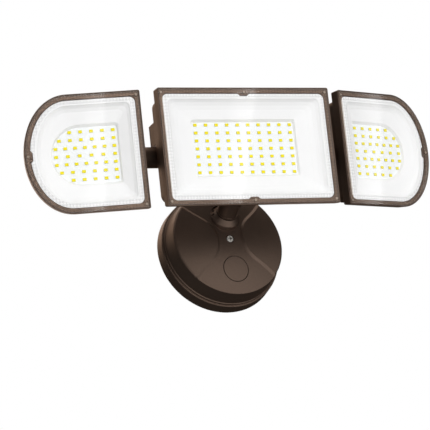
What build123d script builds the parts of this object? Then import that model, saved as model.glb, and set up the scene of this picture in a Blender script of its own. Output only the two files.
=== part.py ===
"""Three-head LED floodlight on a round wall canopy, in millimetres.

The wall is the plane Y = 0 and the light stands out of it along -Y, with +Z up and +X to the right of
someone who faces the light. A domed canopy carries a short rising arm, a bolted knuckle tilts the centre
head on that arm, and two side arms turn in hubs on the back of the centre head. Each side arm ends in a
vertical hinge, so its rounded side head can be turned outwards as well as tilted.
"""

import os
from math import cos, radians, sin, sqrt, tan

from build123d import *

os.makedirs("parts", exist_ok=True)

# Fits between pieces
slip_gap = 0.05
seat_gap = 0.2
face_gap = 0.3

# Canopy: flange, two small steps, tapering drum and shallow domed front
gasket_thickness = 1.5
flange_radius = 63.5
flange_height = 12.9
flange_draft = 0.6
step_width = 1.7
step_height = 2.5
step_ledge = 1.0
flange_back_round = 0.5
flange_front_round = 1.0
step_round = 0.8
step_root_round = 0.3
drum_height = 34.9
drum_taper = 2.0
drum_edge_radius = 2.2
dome_height = 6.0
canopy_wall = 2.4

# Hourglass band sunk into the canopy front, between two raised side lobes
band_depth = 1.5
band_waist = 1.9
band_waist_radius = 34.1
band_flare_angle = 63.4
band_bevel_angle = 60.0

# Plug that closes the accessory opening below the centre of the canopy
plug_margin = 31.1
plug_drop = flange_radius - plug_margin
plug_hole_radius = 13.6
plug_groove = 0.6
plug_lip = 1.8
plug_lip_thickness = 1.6
plug_boss_wall = 3.0
plug_boss_height = 4.0

# Canopy screw and the crossbar that it pulls on
screw_shank_radius = 2.0
screw_head_radius = 3.4
screw_head_height = 2.4
screw_recess_radius = 4.4
screw_recess_depth = 2.0
screw_boss_radius = 7.0
screw_boss_length = 8.0
screw_head_round = 0.8
screw_tip_gap = 0.5
drive_length = 4.4
drive_width = 1.0
drive_depth = 1.2
crossbar_length = 104.0
crossbar_width = 20.0
crossbar_thickness = 2.0
crossbar_slot_pitch = 88.9
crossbar_slot_length = 12.0
crossbar_slot_width = 4.8
crossbar_boss_radius = 5.0
crossbar_boss_height = 4.0

# Main arm, its conical lock ring and its nut inside the canopy
arm_base_rise = 24.1
arm_base_depth = 39.4
arm_angle = 18.0
arm_length = 35.65
arm_radius = 9.75
arm_collar_radius = 10.9
arm_collar_length = 1.4
arm_collar_gap = 1.0
arm_spigot_radius = 8.0
arm_stem_start = 12.5
pad_length = 13.0
ring_base_radius = 15.0
ring_top_radius = 10.9
ring_height = 5.3
ring_notch_angles = [9.0, 30.0, 150.0, 171.0]
ring_notch_width = 2.8
ring_notch_depth = 2.4
arm_nut_across_flats = 22.0
arm_nut_thickness = 5.0

# Knuckle between the arm and the centre head
knuckle_tongue = 14.0
knuckle_ear = 5.0
knuckle_radius = 9.4
knuckle_margin = 22.8
knuckle_setback = 33.0
knuckle_bolt_radius = 3.0

# Hexagon heads and nuts of the knuckle and hinge bolts
hex_across_flats = 10.0
hex_head_height = 4.0
hex_nut_height = 5.0
bolt_end = 1.5

# Heads: shared sizes, with depths measured forwards from the face of the LED chips
head_tilt = 15.0
head_height = 117.8
centre_width = 185.4
side_inner_edge = -28.1
side_outer_end = 89.1
side_end_radius = 45.0
side_end_share = 1.2
rim_corner = 1.8
rim_back = 2.0
rim_side_draft = 0.2
rim_top_draft = 0.8
rim_back_rise = 0.6
lens_front = 12.0
lens_thickness = 2.4
lens_proud = 0.4
lip_width = 1.0
band_side = 5.0
band_top = 5.7
opening_corner = 6.0
ledge_thickness = 2.4
tab_root = 12.6
tab_flat = 7.6
tab_depth = 2.2
groove_inset = 1.2
groove_width = 1.0
groove_depth = 1.2

# Tray behind the rim, tapering to the back, with cooling fins
tray_side_inset = 3.4
tray_top_inset = 6.0
tray_side_taper = 0.6
tray_top_taper = 1.6
tray_corner = 8.0
tray_depth = 14.0
tray_wall = 3.0
fin_thickness = 2.2
fin_height = 6.0
fin_pitch = 10.0
fin_margin = 5.0

# Lens screws: places are insets from the head's outline
lens_screw_side = 3.9
lens_screw_top = 4.6
lens_screw_shank = 0.7
lens_screw_head = 1.2
lens_screw_head_height = 1.1
lens_screw_length = 6.0

# LED boards and chips
board_thickness = 1.6
chip_height = 0.8
chip_width = 3.5
chip_breadth = 2.8
centre_columns = 10
centre_rows = 7
centre_column_pitch = 11.4
centre_row_pitch = 7.96
side_row_pitch = 7.88
side_pitch = 10.64
side_close_pitch = 9.57
side_wide_pitch = 11.49
side_end_pitches = [side_pitch, side_pitch, side_close_pitch]
side_row_pitches = [*side_end_pitches, side_wide_pitch, *reversed(side_end_pitches)]
side_row_counts = [5, 6, 7, 6, 7, 6, 5]
side_rows = list(zip(side_row_counts, side_row_pitches))
board_margin = 4.0

# Reflector trays: a flat flange, a dished wall and a slanting lip round the LED window
reflector_wall = 1.2
reflector_corner = 5.0
window_corner = 2.4
flange_drop = 0.4
flange_side = 10.6
flange_top = 10.7
dish_edge_drop = 1.2
dish_edge_inset = 0.9
dish_steep_drop = 3.0
dish_steep_side = 3.2
dish_steep_top = 2.9
dish_slope_drop = 4.6
dish_slope_side = 6.8
dish_slope_top = 6.0
dish_floor_drop = 5.8
dish_floor_side = 11.5
dish_floor_top = 9.8
lip_height = 2.0
lip_side_lean = 1.3
lip_top_lean = 2.4
window_side = 3.7
window_top = 2.7
side_window_top = 4.3
window_end_radius = 28.5

# Driver box along the upper back of the centre head
driver_half_width = 80.8
driver_hub_gap = 1.0
driver_top_margin = 14.7
driver_top_taper = 2.8
driver_side_taper = 0.8
driver_back = 46.8
driver_wall = 2.8
driver_cover_thickness = 2.0
driver_gasket_thickness = 0.8
driver_board_thickness = 1.6
driver_board_gap = 2.0
transformer_place = -22.0
transformer_length = 22.0
transformer_width = 18.0
transformer_corner = 2.0
choke_place = 16.0
choke_length = 13.0
choke_width = 15.0
capacitor_place = 46.0
capacitor_radius = 6.5
driver_screw_inset = 6.5
driver_boss_radius = 4.0
driver_screw_radius = 1.5
driver_screw_head = 2.9
driver_screw_head_height = 1.8
driver_screw_length = 12.0

# Side arms, their hubs under the driver box and their hinges
side_arm_back = 35.5
hub_radius = 12.0
hub_outer = 72.0
hub_inner = 50.0
hub_web = 18.0
spigot_radius = 7.0
neck_radius = 8.6
neck_length = 2.0
side_arm_radius = 10.5
side_arm_length = 27.0
side_arm_edge = 1.0
side_nut_across_flats = 19.0
side_nut_thickness = 5.0
hinge_reach = 40.0
hinge_radius = 8.5
hinge_tongue = 14.0
hinge_ear = 5.0
hinge_bolt_radius = 3.0
hinge_inset = 14.3
hinge_setback = 25.0
side_yaw = 15.0

# Frames of the canopy, the arm and the three heads
wall_plane = Plane(origin=(0, 0, 0), x_dir=(1, 0, 0), z_dir=(0, -1, 0))
canopy_plane = wall_plane.offset(gasket_thickness)
profile_plane = Plane(origin=canopy_plane.origin, x_dir=(1, 0, 0), z_dir=(0, 0, -1))
canopy_axis = Axis(origin=(0, 0, 0), direction=(0, -1, 0))
arm_direction = Vector(0, -cos(radians(arm_angle)), sin(radians(arm_angle)))
pad_plane = Plane(
    origin=canopy_plane.from_local_coords((0, arm_base_rise, arm_base_depth)),
    x_dir=(1, 0, 0),
    z_dir=arm_direction,
)
knuckle_centre = pad_plane.origin + arm_direction * arm_length
head_up = Vector(0, -sin(radians(head_tilt)), cos(radians(head_tilt)))
head_front = Vector(0, -cos(radians(head_tilt)), -sin(radians(head_tilt)))
knuckle_drop = head_height / 2 - knuckle_margin
centre_plane = Plane(
    origin=knuckle_centre + head_up * knuckle_drop + head_front * knuckle_setback,
    x_dir=(1, 0, 0),
    z_dir=head_front,
)
hinge_x = hub_outer + hinge_reach
hinge_centre = centre_plane.from_local_coords((hinge_x, 0, -side_arm_back))
side_out = Vector(1, 0, 0) * cos(radians(side_yaw)) - head_front * sin(radians(side_yaw))
side_front = Vector(1, 0, 0) * sin(radians(side_yaw)) + head_front * cos(radians(side_yaw))
hinge_local_x = side_inner_edge + hinge_inset
right_plane = Plane(
    origin=hinge_centre - side_out * hinge_local_x + side_front * hinge_setback,
    x_dir=side_out,
    z_dir=side_front,
)
seat = lens_front - lens_thickness
lip_front = lens_front - lens_proud
board_front = -chip_height
board_back = board_front - board_thickness
ledge = rim_back + ledge_thickness
flange_front = seat - flange_drop
half_height = head_height / 2


def save(builder, name):
    """Label a finished piece and write it to its own file."""
    builder.part.label = name
    export_step(builder.part, "parts/" + name + ".step")


def save_pair(builder, name):
    """Write a right-hand piece and its mirror image on the left."""
    save(builder, "right_" + name)
    with BuildPart() as left:
        add(mirror(builder.part, about=Plane.YZ, mode=Mode.PRIVATE))
    save(left, "left_" + name)


def centre_outline(side_inset, top_inset, corner):
    """Rounded rectangle: the centre head's outline, drawn in from its sides and from its top and bottom."""
    with BuildSketch(mode=Mode.PRIVATE) as face:
        RectangleRounded(centre_width - 2 * side_inset, head_height - 2 * top_inset, corner)
    return face.sketch


def d_shape(inner, end, half, end_radius, corner):
    """Straight inner edge with rounded corners, and a half ellipse for the outer end."""
    middle = end - end_radius
    with BuildSketch(mode=Mode.PRIVATE) as face:
        with Locations((middle, 0)):
            Ellipse(end_radius, half)
            Rectangle(middle - inner, 2 * half, align=(Align.MAX, Align.CENTER))
        fillet(face.vertices().group_by(Axis.X)[0], corner)
    return face.sketch


def side_outline(side_inset, top_inset, corner):
    """The side head's D-shaped outline, drawn in by the two insets."""
    end_inset = side_end_share * side_inset
    return d_shape(
        side_inner_edge + side_inset,
        side_outer_end - end_inset,
        half_height - top_inset,
        side_end_radius - end_inset,
        corner,
    )


def rim_tabs(places):
    """Trapezoid tabs on the inner edge of a rim, one at each (x, y, turn) given for its root."""
    with BuildSketch(mode=Mode.PRIVATE) as tabs:
        for x, y, turn in places:
            with Locations(Location((x, y, 0), (0, 0, turn))):
                with Locations((0, tab_depth / 2)):
                    lean = Vector(tab_depth, (tab_root - tab_flat) / 2).get_angle(Vector(1, 0))
                    Trapezoid(tab_root, tab_depth, 90 - lean)
                with Locations((0, -band_top / 2)):
                    Rectangle(tab_root, band_top)
    return tabs.sketch


def lofted(plane, sections):
    """Straight-walled solid through a list of (height, outline) sections."""
    with BuildPart() as body:
        for height, outline in sections:
            with BuildSketch(plane.offset(height)):
                add(outline)
        loft(ruled=True)
    return body.part


def head_shell(plane, outline, tabs, screw_places):
    """Die-cast rim with its lens seat and gasket groove, and the hollow tapering tray behind it."""
    rim_front_outline = outline(0, 0, rim_corner)
    rim_back_outline = Pos(0, rim_back_rise) * outline(rim_side_draft, rim_top_draft, rim_corner)
    tray_front_outline = outline(tray_side_inset, tray_top_inset, tray_corner)
    tray_back_side = tray_side_inset + tray_side_taper
    tray_back_outline = outline(tray_back_side, tray_top_inset + tray_top_taper, tray_corner)
    with BuildPart() as shell:
        add(lofted(plane, [(rim_back, rim_back_outline), (lip_front, rim_front_outline)]))
        add(lofted(plane, [(-tray_depth, tray_back_outline), (rim_back, tray_front_outline)]))
        with BuildSketch(plane.offset(seat)):
            add(outline(lip_width, lip_width, rim_corner - lip_width))
        extrude(amount=lens_thickness, mode=Mode.SUBTRACT)
        with BuildSketch(plane.offset(seat)):
            add(outline(band_side, band_top, opening_corner))
            add(tabs, mode=Mode.SUBTRACT)
        extrude(amount=ledge - seat, mode=Mode.SUBTRACT)
        with BuildSketch(plane.offset(ledge)):
            add(outline(tray_side_inset + tray_wall, tray_top_inset + tray_wall, tray_corner - tray_wall))
        extrude(amount=board_back - ledge, mode=Mode.SUBTRACT)
        with BuildSketch(plane.offset(seat)):
            groove_inner = groove_inset + groove_width
            add(outline(groove_inset, groove_inset, rim_corner - lip_width))
            add(outline(groove_inner, groove_inner, rim_corner), mode=Mode.SUBTRACT)
        extrude(amount=-groove_depth, mode=Mode.SUBTRACT)
        with BuildSketch(plane.offset(seat)):
            with Locations(*screw_places):
                Circle(lens_screw_shank + slip_gap)
        extrude(amount=-lens_screw_length, mode=Mode.SUBTRACT)
    return shell.part


def head_gasket(plane, outline):
    """Rubber ring in the groove under the edge of the lens."""
    with BuildPart() as ring:
        with BuildSketch(plane.offset(seat)):
            add(outline(groove_inset + slip_gap, groove_inset + slip_gap, rim_corner - lip_width))
            inner = groove_inset + groove_width - slip_gap
            add(outline(inner, inner, rim_corner), mode=Mode.SUBTRACT)
        extrude(amount=-groove_depth)
    return ring


def head_lens(plane, outline, screw_places):
    """Clear plate inside the rim's lip, counterbored for its screws."""
    with BuildPart() as lens:
        with BuildSketch(plane.offset(seat)):
            inset = lip_width + seat_gap
            add(outline(inset, inset, rim_corner - lip_width))
        extrude(amount=lens_thickness)
        with Locations(*[plane.offset(lens_front).location * Pos(x, y) for x, y in screw_places]):
            CounterBoreHole(
                radius=lens_screw_shank + seat_gap,
                counter_bore_radius=lens_screw_head + seat_gap,
                counter_bore_depth=lens_screw_head_height,
            )
    return lens


def head_lens_screws(plane, screw_places):
    """Small pan-head screws that hold the lens, all in one group."""
    with BuildPart() as screws:
        with BuildSketch(plane.offset(lens_front)):
            with Locations(*screw_places):
                Circle(lens_screw_head)
        extrude(amount=-lens_screw_head_height)
        with BuildSketch(plane.offset(lens_front - lens_screw_head_height)):
            with Locations(*screw_places):
                Circle(lens_screw_shank)
        extrude(amount=lens_screw_head_height - lens_thickness - lens_screw_length)
    return screws


def head_reflector(plane, opening, tabs, inner_sections, outer_sections):
    """White tray: flange under the rim's opening, dished wall, and a lip down to the LED board."""
    with BuildPart() as tray:
        with BuildSketch(plane.offset(flange_front)):
            add(opening)
            add(tabs, mode=Mode.SUBTRACT)
        extrude(amount=-reflector_wall)
        add(lofted(plane, outer_sections))
        add(lofted(plane, inner_sections), mode=Mode.SUBTRACT)
    return tray


def hexagon_bolt(plane, shank_radius, grip, nut_height):
    """Bolt whose head stands on the plane and whose shank runs back through the grip and the nut."""
    with BuildPart() as bolt:
        with BuildSketch(plane):
            RegularPolygon(hex_across_flats / 2, 6, major_radius=False)
        extrude(amount=hex_head_height)
        chamfer(bolt.faces().sort_by(Axis(plane.origin, plane.z_dir))[-1].edges(), bolt_end / 2)
        with BuildSketch(plane):
            Circle(shank_radius)
        extrude(amount=-grip - nut_height - bolt_end)
    return bolt


def hexagon_nut(plane, across_flats, bore_radius, height):
    """Hexagon nut that stands on the plane."""
    with BuildPart() as nut:
        with BuildSketch(plane):
            RegularPolygon(across_flats / 2, 6, major_radius=False)
            Circle(bore_radius, mode=Mode.SUBTRACT)
        extrude(amount=height)
    return nut


# Canopy profile: height of the domed front at a radius, for the lobes and for the sunk band
drum_back_radius = flange_radius - flange_draft - step_width - step_ledge
drum_front_radius = drum_back_radius - drum_taper
dome_curve = (drum_front_radius**2 + dome_height**2) / (2 * dome_height)


def dome(radius):
    """Height of the lobes' dome above the back of the canopy."""
    return drum_height + dome_height - dome_curve + sqrt(dome_curve**2 - radius**2)


def dome_arc(lower_by):
    """Quarter view of the dome, lowered by an amount."""
    return ThreePointArc(
        (drum_front_radius, drum_height - lower_by),
        (drum_front_radius / 2, dome(drum_front_radius / 2) - lower_by),
        (0, drum_height + dome_height - lower_by),
    )


def dome_body(lower_by):
    """Solid under the dome when the dome is lowered by an amount."""
    with BuildPart() as body:
        with BuildSketch(profile_plane):
            with BuildLine():
                Line((0, 0), (drum_front_radius, 0))
                Line((drum_front_radius, 0), (drum_front_radius, drum_height - lower_by))
                dome_arc(lower_by)
                Line((0, drum_height + dome_height - lower_by), (0, 0))
            make_face()
        revolve(axis=canopy_axis)
    return body.part


def hourglass(widen):
    """Hourglass outline: a round waist and straight flaring legs, widened by an amount."""
    waist = band_waist + widen
    bend = band_waist_radius - widen
    flare = radians(band_flare_angle)
    flare_x = waist + bend * (1 - cos(flare))
    flare_y = bend * sin(flare)
    leg = 2 * flange_radius
    end_x = flare_x + leg * sin(flare)
    end_y = flare_y + leg * cos(flare)
    with BuildSketch(mode=Mode.PRIVATE) as face:
        with BuildLine():
            ThreePointArc((flare_x, -flare_y), (waist, 0), (flare_x, flare_y))
            Polyline((flare_x, flare_y), (end_x, end_y), (-end_x, end_y), (-flare_x, flare_y))
            ThreePointArc((-flare_x, flare_y), (-waist, 0), (-flare_x, -flare_y))
            Polyline((-flare_x, -flare_y), (-end_x, -end_y), (end_x, -end_y), (flare_x, -flare_y))
        make_face()
    return face.sketch


# Space of the hourglass band above its domed floor, with sides that lean out as they rise
band_base = drum_height - band_depth
band_rise = dome_height + 2 * band_depth
with BuildPart() as band_space:
    band_widen = band_rise * tan(radians(band_bevel_angle))
    add(lofted(canopy_plane, [(band_base, hourglass(0)), (band_base + band_rise, hourglass(band_widen))]))
    add(dome_body(band_depth), mode=Mode.SUBTRACT)

# Boss behind the plug, let halfway into the wall of the canopy
plug_base = dome(plug_drop + plug_hole_radius) - band_depth - plug_boss_height
with BuildPart() as plug_boss:
    with BuildSketch(canopy_plane.offset(plug_base)):
        with Locations((0, -plug_drop)):
            Circle(plug_hole_radius + plug_boss_wall)
    extrude(amount=plug_boss_height + dome_height)
    add(dome_body(band_depth + canopy_wall / 2), mode=Mode.INTERSECT)

# Canopy: spun shell with the sunk band, the tilted arm pad, and bosses for the screw and the plug
with BuildPart() as canopy:
    with BuildSketch(profile_plane) as canopy_profile:
        with BuildLine():
            FilletPolyline(
                (0, 0),
                (flange_radius, 0),
                (flange_radius - flange_draft, flange_height),
                (flange_radius - flange_draft - step_width, flange_height),
                (drum_back_radius + step_ledge, flange_height + step_height),
                (drum_back_radius, flange_height + step_height),
                (drum_front_radius, drum_height),
                radius=[flange_back_round, flange_front_round, step_root_round, step_round, step_root_round],
            )
            dome_arc(0)
            Line((0, drum_height + dome_height), (0, 0))
        make_face()
        fillet(
            canopy_profile.vertices().sort_by_distance((drum_front_radius, drum_height))[0],
            drum_edge_radius,
        )
    revolve(axis=canopy_axis)
    add(band_space.part, mode=Mode.SUBTRACT)
    with BuildSketch(profile_plane):
        with BuildLine():
            inner_radius = drum_front_radius - canopy_wall
            Polyline(
                (0, 0),
                (drum_back_radius - canopy_wall, 0),
                (inner_radius, drum_height - band_depth - canopy_wall),
            )
            ThreePointArc(
                (inner_radius, drum_height - band_depth - canopy_wall),
                (inner_radius / 2, dome(inner_radius / 2) - band_depth - canopy_wall),
                (0, drum_height + dome_height - band_depth - canopy_wall),
            )
            Line((0, drum_height + dome_height - band_depth - canopy_wall), (0, 0))
        make_face()
    revolve(axis=canopy_axis, mode=Mode.SUBTRACT)
    band_front = drum_height + dome_height - band_depth
    with BuildSketch(canopy_plane.offset(band_front - screw_recess_depth)):
        Circle(screw_boss_radius)
    extrude(amount=-screw_boss_length)
    add(plug_boss.part)
    with BuildSketch(pad_plane):
        Circle(ring_base_radius)
    extrude(amount=-pad_length)
    with BuildSketch(pad_plane):
        Circle(ring_base_radius + face_gap)
    extrude(amount=ring_height + dome_height, mode=Mode.SUBTRACT)
    with BuildSketch(pad_plane):
        Circle(arm_spigot_radius + slip_gap)
    extrude(amount=-pad_length, mode=Mode.SUBTRACT)
    with BuildSketch(canopy_plane.offset(band_front - screw_recess_depth)):
        Circle(screw_recess_radius)
    extrude(amount=screw_recess_depth + dome_height, mode=Mode.SUBTRACT)
    with BuildSketch(canopy_plane.offset(band_front)):
        Circle(screw_shank_radius + seat_gap)
    extrude(amount=-screw_recess_depth - screw_boss_length, mode=Mode.SUBTRACT)
    with BuildSketch(canopy_plane.offset(plug_base)):
        with Locations((0, -plug_drop)):
            Circle(plug_hole_radius)
    extrude(amount=plug_boss_height + dome_height, mode=Mode.SUBTRACT)
save(canopy, "canopy")

# Gasket between the canopy flange and the wall
with BuildPart() as canopy_gasket:
    with BuildSketch(wall_plane):
        Circle(flange_radius - step_ledge)
        Circle(drum_back_radius - canopy_wall, mode=Mode.SUBTRACT)
    extrude(amount=gasket_thickness)
save(canopy_gasket, "canopy_gasket")

# Plug: its front follows the sunk band, its lip bears on the boss inside the canopy
with BuildPart() as canopy_plug:
    with BuildSketch(canopy_plane.offset(plug_base)):
        with Locations((0, -plug_drop)):
            Circle(plug_hole_radius - plug_groove)
    extrude(amount=plug_boss_height + dome_height)
    add(dome_body(band_depth), mode=Mode.INTERSECT)
    with BuildSketch(canopy_plane.offset(plug_base)):
        with Locations((0, -plug_drop)):
            Circle(plug_hole_radius + plug_lip)
    extrude(amount=-plug_lip_thickness)
save(canopy_plug, "canopy_plug")

# Crossbar on the wall box, with a tapped boss for the canopy screw
with BuildPart() as crossbar:
    with BuildSketch(wall_plane):
        SlotOverall(crossbar_length, crossbar_width)
        with GridLocations(crossbar_slot_pitch, 0, 2, 1):
            SlotOverall(crossbar_slot_length, crossbar_slot_width, mode=Mode.SUBTRACT)
    extrude(amount=crossbar_thickness)
    with BuildSketch(wall_plane.offset(crossbar_thickness)):
        Circle(crossbar_boss_radius)
    extrude(amount=crossbar_boss_height)
    with BuildSketch(wall_plane):
        Circle(screw_shank_radius + slip_gap)
    extrude(amount=crossbar_thickness + crossbar_boss_height, mode=Mode.SUBTRACT)
save(crossbar, "crossbar")

# Canopy screw: pan head with a cross recess, and a long shank down to the crossbar
with BuildPart() as canopy_screw:
    head_seat = canopy_plane.offset(band_front - screw_recess_depth)
    with BuildSketch(head_seat):
        Circle(screw_head_radius)
    extrude(amount=screw_head_height)
    fillet(canopy_screw.faces().sort_by(canopy_axis)[-1].edges(), screw_head_round)
    with BuildSketch(head_seat.offset(screw_head_height)):
        Rectangle(drive_length, drive_width)
        Rectangle(drive_width, drive_length)
    extrude(amount=-drive_depth, mode=Mode.SUBTRACT)
    with BuildSketch(head_seat):
        Circle(screw_shank_radius)
    extrude(amount=screw_tip_gap - gasket_thickness - band_front + screw_recess_depth)
save(canopy_screw, "canopy_screw")

# Conical lock ring on the arm pad, with two pairs of notches for a spanner
with BuildPart() as arm_lock_ring:
    with BuildSketch(pad_plane):
        Circle(ring_base_radius)
    with BuildSketch(pad_plane.offset(ring_height)):
        Circle(ring_top_radius)
    loft(ruled=True)
    with BuildSketch(pad_plane):
        notch_middle = ring_base_radius - ring_notch_depth / 2
        for angle in ring_notch_angles:
            with PolarLocations(notch_middle, 1, start_angle=angle):
                Rectangle(ring_notch_depth, ring_notch_width)
    extrude(amount=ring_height, mode=Mode.SUBTRACT)
    with BuildSketch(pad_plane):
        Circle(arm_radius + slip_gap)
    extrude(amount=ring_height, mode=Mode.SUBTRACT)
save(arm_lock_ring, "arm_lock_ring")

# Main arm: spigot through the canopy, round stem with a collar, and the knuckle's tongue
knuckle_plane = Plane(origin=knuckle_centre, x_dir=arm_direction, z_dir=(1, 0, 0))
with BuildPart() as main_arm:
    with BuildSketch(pad_plane.offset(seat_gap)):
        Circle(arm_radius)
    extrude(amount=arm_length - arm_stem_start - seat_gap)
    with BuildSketch(pad_plane.offset(ring_height + arm_collar_gap)):
        Circle(arm_collar_radius)
    extrude(amount=arm_collar_length)
    with BuildSketch(pad_plane.offset(seat_gap)):
        Circle(arm_spigot_radius)
    extrude(amount=-pad_length - arm_nut_thickness - bolt_end)
    with BuildSketch(knuckle_plane.offset(-knuckle_tongue / 2)):
        Circle(knuckle_radius)
        Rectangle(arm_stem_start + seat_gap, 2 * knuckle_radius, align=(Align.MAX, Align.CENTER))
    extrude(amount=knuckle_tongue)
    with BuildSketch(knuckle_plane.offset(-knuckle_tongue / 2)):
        Circle(knuckle_bolt_radius + slip_gap)
    extrude(amount=knuckle_tongue, mode=Mode.SUBTRACT)
save(main_arm, "main_arm")

arm_nut = hexagon_nut(
    pad_plane.offset(-pad_length - arm_nut_thickness - seat_gap),
    arm_nut_across_flats,
    arm_spigot_radius + slip_gap,
    arm_nut_thickness,
)
save(arm_nut, "arm_nut")

# Knuckle bolt across the two ears of the centre head
ear_outer = knuckle_tongue / 2 + face_gap + knuckle_ear
knuckle_head_plane = knuckle_plane.offset(ear_outer)
knuckle_bolt = hexagon_bolt(knuckle_head_plane, knuckle_bolt_radius, 2 * ear_outer, hex_nut_height)
save(knuckle_bolt, "knuckle_bolt")
knuckle_nut = hexagon_nut(
    knuckle_plane.offset(-ear_outer - hex_nut_height),
    hex_across_flats,
    knuckle_bolt_radius + slip_gap,
    hex_nut_height,
)
save(knuckle_nut, "knuckle_nut")

# Places on the centre head and on the right-hand head
screw_x = centre_width / 2 - lens_screw_side
screw_y = half_height - lens_screw_top
centre_screws = [(side * screw_x, level * screw_y) for side in (-1, 1) for level in (-1, 1)]
centre_screws += [(0, screw_y), (0, -screw_y)]
centre_tabs = rim_tabs([(0, half_height - band_top, 180), (0, band_top - half_height, 0)])
side_screws = [(side_inner_edge + lens_screw_side, level * screw_y) for level in (-1, 1)]
side_screws += [(side_outer_end - lens_screw_side, 0)]
side_tabs = rim_tabs([(side_outer_end - side_end_share * band_side, 0, 90)])

# Centre housing: shell, fins, knuckle ears, side-arm hubs and the open driver box on the back
ear_plane = Plane(origin=knuckle_centre, x_dir=head_front, z_dir=(1, 0, 0))
hub_plane = Plane(
    origin=centre_plane.from_local_coords((0, 0, -side_arm_back)),
    x_dir=head_front,
    z_dir=(1, 0, 0),
)
tray_back_top = half_height - tray_top_inset - tray_top_taper
driver_top = tray_back_top - driver_top_margin
driver_bottom = hub_radius + driver_hub_gap
box_back = driver_back - driver_cover_thickness - driver_gasket_thickness
box_depth = driver_back - tray_depth
driver_screw_x = driver_half_width - driver_side_taper - driver_screw_inset
driver_screw_y = driver_bottom + (driver_top - driver_top_taper - driver_bottom) / 2
driver_screw_places = [(side * driver_screw_x, driver_screw_y) for side in (-1, 1)]


def driver_rectangle(back, inset):
    """Driver box section at a depth behind the LED chips, drawn in by an inset."""
    share = (back - tray_depth) / box_depth
    top = driver_top - driver_top_taper * share - inset
    bottom = driver_bottom + inset
    with BuildSketch(mode=Mode.PRIVATE) as face:
        with Locations((0, bottom)):
            Rectangle(
                2 * (driver_half_width - driver_side_taper * share - inset),
                top - bottom,
                align=(Align.CENTER, Align.MIN),
            )
    return face.sketch


with BuildPart() as centre_housing:
    add(head_shell(centre_plane, centre_outline, centre_tabs, centre_screws))
    fin_first = knuckle_tongue / 2 + knuckle_ear + 2 * fin_pitch / 2
    fin_last = centre_width / 2 - tray_side_inset - tray_side_taper - fin_margin
    fin_count = int((fin_last - fin_first) / fin_pitch) + 1
    fin_top = -hub_web / 2 - fin_margin
    fin_bottom = fin_margin - tray_back_top
    with BuildSketch(centre_plane.offset(-tray_depth)):
        for side in (-1, 1):
            for index in range(fin_count):
                with Locations((side * (fin_first + index * fin_pitch), (fin_top + fin_bottom) / 2)):
                    Rectangle(fin_thickness, fin_top - fin_bottom)
    extrude(amount=-fin_height)
    for side in (-1, 1):
        with BuildSketch(ear_plane.offset(side * (ear_outer - knuckle_ear / 2) - knuckle_ear / 2)):
            Circle(knuckle_radius)
            Rectangle(
                knuckle_setback - tray_depth,
                2 * knuckle_radius,
                align=(Align.MIN, Align.CENTER),
            )
            Circle(knuckle_bolt_radius + slip_gap, mode=Mode.SUBTRACT)
        extrude(amount=knuckle_ear)
        hub_middle = side * (hub_outer + hub_inner) / 2
        hub_length = hub_outer - hub_inner
        with BuildSketch(hub_plane.offset(hub_middle - hub_length / 2)):
            Circle(hub_radius)
            Rectangle(side_arm_back - tray_depth, hub_web, align=(Align.MIN, Align.CENTER))
        extrude(amount=hub_length)
        with BuildSketch(hub_plane.offset(hub_middle - hub_length / 2)):
            Circle(spigot_radius + slip_gap)
        extrude(amount=hub_length, mode=Mode.SUBTRACT)
    add(
        lofted(
            centre_plane,
            [(-box_back, driver_rectangle(box_back, 0)), (-tray_depth, driver_rectangle(tray_depth, 0))],
        )
    )
    with BuildSketch(centre_plane.offset(-box_back)):
        add(driver_rectangle(driver_back, driver_wall))
    extrude(amount=box_back - tray_depth - driver_wall, mode=Mode.SUBTRACT)
    with BuildSketch(centre_plane.offset(-box_back)):
        with Locations(*driver_screw_places):
            Circle(driver_boss_radius)
    extrude(amount=box_back - tray_depth)
    with BuildSketch(centre_plane.offset(-box_back)):
        with Locations(*driver_screw_places):
            Circle(driver_screw_radius + slip_gap)
    extrude(amount=driver_screw_length, mode=Mode.SUBTRACT)
save(centre_housing, "centre_housing")

# Driver board lying on the floor of its box: plate, transformer, choke and capacitors
board_floor = driver_bottom + driver_wall
board_half = driver_screw_x - driver_boss_radius - driver_board_gap
board_near = tray_depth + driver_wall + driver_board_gap
board_far = box_back - driver_board_gap
board_middle = -(board_near + board_far) / 2
part_ceiling = driver_top - driver_top_taper - driver_wall - driver_board_gap
part_room = part_ceiling - board_floor - driver_board_thickness
board_top_plane = Plane(
    origin=centre_plane.from_local_coords((0, board_floor + driver_board_thickness, board_middle)),
    x_dir=(1, 0, 0),
    z_dir=head_up,
)
with BuildPart() as driver_board:
    board_deep = board_far - board_near
    with BuildSketch(board_top_plane):
        Rectangle(2 * board_half, board_deep)
    extrude(amount=-driver_board_thickness)
    with BuildSketch(board_top_plane):
        with Locations((transformer_place, 0)):
            RectangleRounded(transformer_length, transformer_width, transformer_corner)
        with Locations((choke_place, 0)):
            Rectangle(choke_length, choke_width)
        with Locations((capacitor_place, 0), (-capacitor_place, 0)):
            Circle(capacitor_radius)
    extrude(amount=part_room)
save(driver_board, "driver_board")

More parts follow.
